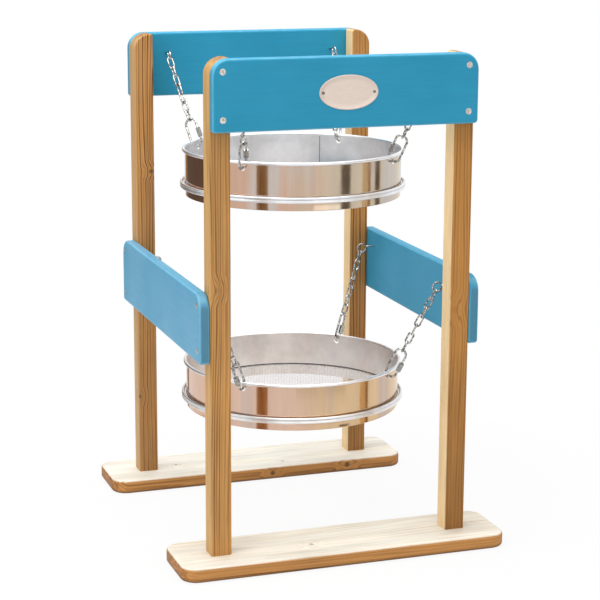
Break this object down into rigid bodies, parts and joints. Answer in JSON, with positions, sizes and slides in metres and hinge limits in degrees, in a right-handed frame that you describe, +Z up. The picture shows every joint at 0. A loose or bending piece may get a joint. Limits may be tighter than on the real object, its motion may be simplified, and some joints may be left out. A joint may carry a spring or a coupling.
{
  "type": "sand sieve",
  "caption": "Children's sand sieve: round wire sieves with rolled rims hang on chains and quick links, one over the other, in a wooden stand with painted cross boards.",
  "frame": {"origin": "on the ground under the middle of the stand", "axes": "+X right along the front board, +Y from the front to the back, +Z up"},
  "size_m": [0.57, 0.611, 0.838],
  "materials": {
    "pine": "clear varnish",
    "pale_pine": "clear varnish",
    "blue_paint": "blue paint",
    "plate": "bare satin",
    "zinc": "zinc plated",
    "stainless": "bright"
  },
  "bodies": {
    "stand": {"post_front_left": "pine", "post_front_right": "pine", "post_back_left": "pine", "post_back_right": "pine", "foot_front": "pale_pine", "foot_back": "pale_pine", "top_board_front": "blue_paint", "top_board_back": "blue_paint", "side_board_left": "blue_paint", "side_board_right": "blue_paint", "oval_plate": "plate", "plate_pins": "zinc", "top_board_screws": "zinc", "side_board_screws": "zinc", "foot_screws": "zinc", "hooks_upper": "zinc", "hooks_lower": "zinc"},
    "top_link_upper_front_left": {"top_link_upper_front_left": "zinc"},
    "chain_upper_front_left": {"chain_upper_front_left": "zinc"},
    "quick_link_upper_front_left": {"quick_link_upper_front_left": "zinc"},
    "sleeve_nut_upper_front_left": {"sleeve_nut_upper_front_left": "zinc"},
    "top_link_upper_front_right": {"top_link_upper_front_right": "zinc"},
    "chain_upper_front_right": {"chain_upper_front_right": "zinc"},
    "quick_link_upper_front_right": {"quick_link_upper_front_right": "zinc"},
    "sleeve_nut_upper_front_right": {"sleeve_nut_upper_front_right": "zinc"},
    "top_link_upper_back_left": {"top_link_upper_back_left": "zinc"},
    "chain_upper_back_left": {"chain_upper_back_left": "zinc"},
    "quick_link_upper_back_left": {"quick_link_upper_back_left": "zinc"},
    "sleeve_nut_upper_back_left": {"sleeve_nut_upper_back_left": "zinc"},
    "top_link_upper_back_right": {"top_link_upper_back_right": "zinc"},
    "chain_upper_back_right": {"chain_upper_back_right": "zinc"},
    "quick_link_upper_back_right": {"quick_link_upper_back_right": "zinc"},
    "sleeve_nut_upper_back_right": {"sleeve_nut_upper_back_right": "zinc"},
    "sieve_upper": {"sieve_band_upper": "stainless", "sieve_mesh_upper": "stainless", "sieve_skirt_upper": "stainless"},
    "top_link_lower_front_left": {"top_link_lower_front_left": "zinc"},
    "chain_lower_front_left": {"chain_lower_front_left": "zinc"},
    "quick_link_lower_front_left": {"quick_link_lower_front_left": "zinc"},
    "sleeve_nut_lower_front_left": {"sleeve_nut_lower_front_left": "zinc"},
    "top_link_lower_front_right": {"top_link_lower_front_right": "zinc"},
    "chain_lower_front_right": {"chain_lower_front_right": "zinc"},
    "quick_link_lower_front_right": {"quick_link_lower_front_right": "zinc"},
    "sleeve_nut_lower_front_right": {"sleeve_nut_lower_front_right": "zinc"},
    "top_link_lower_back_left": {"top_link_lower_back_left": "zinc"},
    "chain_lower_back_left": {"chain_lower_back_left": "zinc"},
    "quick_link_lower_back_left": {"quick_link_lower_back_left": "zinc"},
    "sleeve_nut_lower_back_left": {"sleeve_nut_lower_back_left": "zinc"},
    "top_link_lower_back_right": {"top_link_lower_back_right": "zinc"},
    "chain_lower_back_right": {"chain_lower_back_right": "zinc"},
    "quick_link_lower_back_right": {"quick_link_lower_back_right": "zinc"},
    "sleeve_nut_lower_back_right": {"sleeve_nut_lower_back_right": "zinc"},
    "sieve_lower": {"sieve_band_lower": "stainless", "sieve_mesh_lower": "stainless", "sieve_skirt_lower": "stainless"}
  },
  "joints": [
    {"name": "top_swing_upper_front_left", "type": "hinge", "parent": "stand", "child": "top_link_upper_front_left", "pos_m": [-0.158, -0.22432, 0.79124], "axis": [0, 1, 0], "range_deg": [-4, 4]},
    {"name": "chain_swing_upper_front_left", "type": "hinge", "parent": "top_link_upper_front_left", "child": "chain_upper_front_left", "pos_m": [-0.15538, -0.21496, 0.77645], "axis": [1, 0, 0], "range_deg": [-4, 4]},
    {"name": "quick_link_swing_upper_front_left", "type": "hinge", "parent": "chain_upper_front_left", "child": "quick_link_upper_front_left", "pos_m": [-0.13966, -0.15878, 0.68771], "axis": [1, 0, 0], "range_deg": [-6.5, 6.5]},
    {"name": "sleeve_slide_upper_front_left", "type": "slide", "parent": "quick_link_upper_front_left", "child": "sleeve_nut_upper_front_left", "axis": [-0.148, -0.529, 0.8356], "range_m": [0, 0.011]},
    {"name": "top_swing_upper_front_right", "type": "hinge", "parent": "stand", "child": "top_link_upper_front_right", "pos_m": [0.158, -0.22432, 0.79124], "axis": [0, 1, 0], "range_deg": [-4.5, 4.5]},
    {"name": "chain_swing_upper_front_right", "type": "hinge", "parent": "top_link_upper_front_right", "child": "chain_upper_front_right", "pos_m": [0.15538, -0.21496, 0.77645], "axis": [1, 0, 0], "range_deg": [-4.5, 4.5]},
    {"name": "quick_link_swing_upper_front_right", "type": "hinge", "parent": "chain_upper_front_right", "child": "quick_link_upper_front_right", "pos_m": [0.13966, -0.15878, 0.68771], "axis": [1, 0, 0], "range_deg": [-6.5, 6.5]},
    {"name": "sleeve_slide_upper_front_right", "type": "slide", "parent": "quick_link_upper_front_right", "child": "sleeve_nut_upper_front_right", "axis": [0.148, -0.529, 0.8356], "range_m": [0, 0.011]},
    {"name": "top_swing_upper_back_left", "type": "hinge", "parent": "stand", "child": "top_link_upper_back_left", "pos_m": [-0.158, 0.22432, 0.79124], "axis": [0, 1, 0], "range_deg": [-4.5, 4.5]},
    {"name": "chain_swing_upper_back_left", "type": "hinge", "parent": "top_link_upper_back_left", "child": "chain_upper_back_left", "pos_m": [-0.15538, 0.21496, 0.77645], "axis": [1, 0, 0], "range_deg": [-4.5, 4.5]},
    {"name": "quick_link_swing_upper_back_left", "type": "hinge", "parent": "chain_upper_back_left", "child": "quick_link_upper_back_left", "pos_m": [-0.13966, 0.15878, 0.68771], "axis": [1, 0, 0], "range_deg": [-6.5, 6.5]},
    {"name": "sleeve_slide_upper_back_left", "type": "slide", "parent": "quick_link_upper_back_left", "child": "sleeve_nut_upper_back_left", "axis": [-0.148, 0.529, 0.8356], "range_m": [0, 0.011]},
    {"name": "top_swing_upper_back_right", "type": "hinge", "parent": "stand", "child": "top_link_upper_back_right", "pos_m": [0.158, 0.22432, 0.79124], "axis": [0, 1, 0], "range_deg": [-4.5, 4.5]},
    {"name": "chain_swing_upper_back_right", "type": "hinge", "parent": "top_link_upper_back_right", "child": "chain_upper_back_right", "pos_m": [0.15538, 0.21496, 0.77645], "axis": [1, 0, 0], "range_deg": [-4.5, 4.5]},
    {"name": "quick_link_swing_upper_back_right", "type": "hinge", "parent": "chain_upper_back_right", "child": "quick_link_upper_back_right", "pos_m": [0.13966, 0.15878, 0.68771], "axis": [1, 0, 0], "range_deg": [-6.5, 6.5]},
    {"name": "sleeve_slide_upper_back_right", "type": "slide", "parent": "quick_link_upper_back_right", "child": "sleeve_nut_upper_back_right", "axis": [0.148, 0.529, 0.8356], "range_m": [0, 0.011]},
    {"name": "sieve_swing_upper", "type": "hinge", "parent": "quick_link_upper_front_left", "child": "sieve_upper", "pos_m": [-0.13223, -0.13223, 0.64576], "axis": [0, 1, 0], "range_deg": [-5.5, 5.5]},
    {"name": "top_swing_lower_front_left", "type": "hinge", "parent": "stand", "child": "top_link_lower_front_left", "pos_m": [-0.19557, -0.18, 0.42559], "axis": [1, 0, 0], "range_deg": [-4, 4]},
    {"name": "chain_swing_lower_front_left", "type": "hinge", "parent": "top_link_lower_front_left", "child": "chain_lower_front_left", "pos_m": [-0.18913, -0.17514, 0.40984], "axis": [0, 1, 0], "range_deg": [-4, 4]},
    {"name": "quick_link_swing_lower_front_left", "type": "hinge", "parent": "chain_lower_front_left", "child": "quick_link_lower_front_left", "pos_m": [-0.15049, -0.146, 0.31531], "axis": [0, 1, 0], "range_deg": [-6.5, 6.5]},
    {"name": "sleeve_slide_lower_front_left", "type": "slide", "parent": "quick_link_lower_front_left", "child": "sleeve_nut_lower_front_left", "axis": [-0.3638, -0.2744, 0.8901], "range_m": [0, 0.011]},
    {"name": "top_swing_lower_front_right", "type": "hinge", "parent": "stand", "child": "top_link_lower_front_right", "pos_m": [0.19557, -0.18, 0.42559], "axis": [1, 0, 0], "range_deg": [-4.5, 4.5]},
    {"name": "chain_swing_lower_front_right", "type": "hinge", "parent": "top_link_lower_front_right", "child": "chain_lower_front_right", "pos_m": [0.18913, -0.17514, 0.40984], "axis": [0, 1, 0], "range_deg": [-4.5, 4.5]},
    {"name": "quick_link_swing_lower_front_right", "type": "hinge", "parent": "chain_lower_front_right", "child": "quick_link_lower_front_right", "pos_m": [0.15049, -0.146, 0.31531], "axis": [0, 1, 0], "range_deg": [-6.5, 6.5]},
    {"name": "sleeve_slide_lower_front_right", "type": "slide", "parent": "quick_link_lower_front_right", "child": "sleeve_nut_lower_front_right", "axis": [0.3638, -0.2744, 0.8901], "range_m": [0, 0.011]},
    {"name": "top_swing_lower_back_left", "type": "hinge", "parent": "stand", "child": "top_link_lower_back_left", "pos_m": [-0.19557, 0.18, 0.42559], "axis": [1, 0, 0], "range_deg": [-4.5, 4.5]},
    {"name": "chain_swing_lower_back_left", "type": "hinge", "parent": "top_link_lower_back_left", "child": "chain_lower_back_left", "pos_m": [-0.18913, 0.17514, 0.40984], "axis": [0, 1, 0], "range_deg": [-4.5, 4.5]},
    {"name": "quick_link_swing_lower_back_left", "type": "hinge", "parent": "chain_lower_back_left", "child": "quick_link_lower_back_left", "pos_m": [-0.15049, 0.146, 0.31531], "axis": [0, 1, 0], "range_deg": [-6.5, 6.5]},
    {"name": "sleeve_slide_lower_back_left", "type": "slide", "parent": "quick_link_lower_back_left", "child": "sleeve_nut_lower_back_left", "axis": [-0.3638, 0.2744, 0.8901], "range_m": [0, 0.011]},
    {"name": "top_swing_lower_back_right", "type": "hinge", "parent": "stand", "child": "top_link_lower_back_right", "pos_m": [0.19557, 0.18, 0.42559], "axis": [1, 0, 0], "range_deg": [-4.5, 4.5]},
    {"name": "chain_swing_lower_back_right", "type": "hinge", "parent": "top_link_lower_back_right", "child": "chain_lower_back_right", "pos_m": [0.18913, 0.17514, 0.40984], "axis": [0, 1, 0], "range_deg": [-4.5, 4.5]},
    {"name": "quick_link_swing_lower_back_right", "type": "hinge", "parent": "chain_lower_back_right", "child": "quick_link_lower_back_right", "pos_m": [0.15049, 0.146, 0.31531], "axis": [0, 1, 0], "range_deg": [-6.5, 6.5]},
    {"name": "sleeve_slide_lower_back_right", "type": "slide", "parent": "quick_link_lower_back_right", "child": "sleeve_nut_lower_back_right", "axis": [0.3638, 0.2744, 0.8901], "range_m": [0, 0.011]},
    {"name": "sieve_swing_lower", "type": "hinge", "parent": "quick_link_lower_front_left", "child": "sieve_lower", "pos_m": [-0.13223, -0.13223, 0.27062], "axis": [1, 0, 0], "range_deg": [-6.5, 6.5]}
  ],
  "couplings": [
    {"joint": "quick_link_swing_upper_front_left", "follows": "chain_swing_upper_front_left", "ratio": -1.3538},
    {"joint": "top_swing_upper_front_right", "follows": "top_swing_upper_front_left", "ratio": 1},
    {"joint": "chain_swing_upper_front_right", "follows": "chain_swing_upper_front_left", "ratio": 1},
    {"joint": "quick_link_swing_upper_front_right", "follows": "chain_swing_upper_front_left", "ratio": -1.3538},
    {"joint": "top_swing_upper_back_left", "follows": "top_swing_upper_front_left", "ratio": 1},
    {"joint": "chain_swing_upper_back_left", "follows": "chain_swing_upper_front_left", "ratio": 1},
    {"joint": "quick_link_swing_upper_back_left", "follows": "chain_swing_upper_front_left", "ratio": -1.3538},
    {"joint": "top_swing_upper_back_right", "follows": "top_swing_upper_front_left", "ratio": 1},
    {"joint": "chain_swing_upper_back_right", "follows": "chain_swing_upper_front_left", "ratio": 1},
    {"joint": "quick_link_swing_upper_back_right", "follows": "chain_swing_upper_front_left", "ratio": -1.3538},
    {"joint": "sieve_swing_upper", "follows": "top_swing_upper_front_left", "ratio": -1.1949},
    {"joint": "quick_link_swing_lower_front_left", "follows": "chain_swing_lower_front_left", "ratio": -1.2568},
    {"joint": "top_swing_lower_front_right", "follows": "top_swing_lower_front_left", "ratio": 1},
    {"joint": "chain_swing_lower_front_right", "follows": "chain_swing_lower_front_left", "ratio": 1},
    {"joint": "quick_link_swing_lower_front_right", "follows": "chain_swing_lower_front_left", "ratio": -1.2568},
    {"joint": "top_swing_lower_back_left", "follows": "top_swing_lower_front_left", "ratio": 1},
    {"joint": "chain_swing_lower_back_left", "follows": "chain_swing_lower_front_left", "ratio": 1},
    {"joint": "quick_link_swing_lower_back_left", "follows": "chain_swing_lower_front_left", "ratio": -1.2568},
    {"joint": "top_swing_lower_back_right", "follows": "top_swing_lower_front_left", "ratio": 1},
    {"joint": "chain_swing_lower_back_right", "follows": "chain_swing_lower_front_left", "ratio": 1},
    {"joint": "quick_link_swing_lower_back_right", "follows": "chain_swing_lower_front_left", "ratio": -1.2568},
    {"joint": "sieve_swing_lower", "follows": "top_swing_lower_front_left", "ratio": -1.3613}
  ]
}
